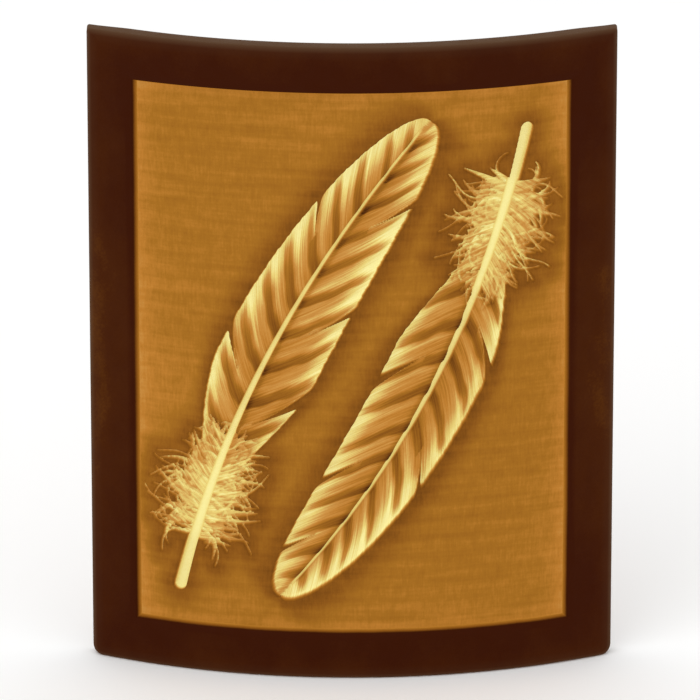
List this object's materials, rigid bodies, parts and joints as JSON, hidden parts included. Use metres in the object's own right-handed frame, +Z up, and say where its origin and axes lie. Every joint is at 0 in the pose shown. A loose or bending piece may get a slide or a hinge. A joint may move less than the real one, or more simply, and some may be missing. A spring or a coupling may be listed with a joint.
{
  "type": "porcelain lithophane panel",
  "caption": "Bowed porcelain lithophane panel with a thick rim and a sunken window carved with tail feathers, stood in front of a lamp so that the picture glows.",
  "frame": {"origin": "under the middle of the panel's box, on the surface that the panel stands on", "axes": "+X to the viewer's right, front towards -Y, +Z up along the panel's height"},
  "size_m": [0.089, 0.0144, 0.113],
  "materials": {
    "porcelain": "unglazed bisque porcelain, amber where a lamp shines through it and brown where it is thick"
  },
  "bodies": {
    "root": {"light_panel": "porcelain"}
  },
  "joints": []
}
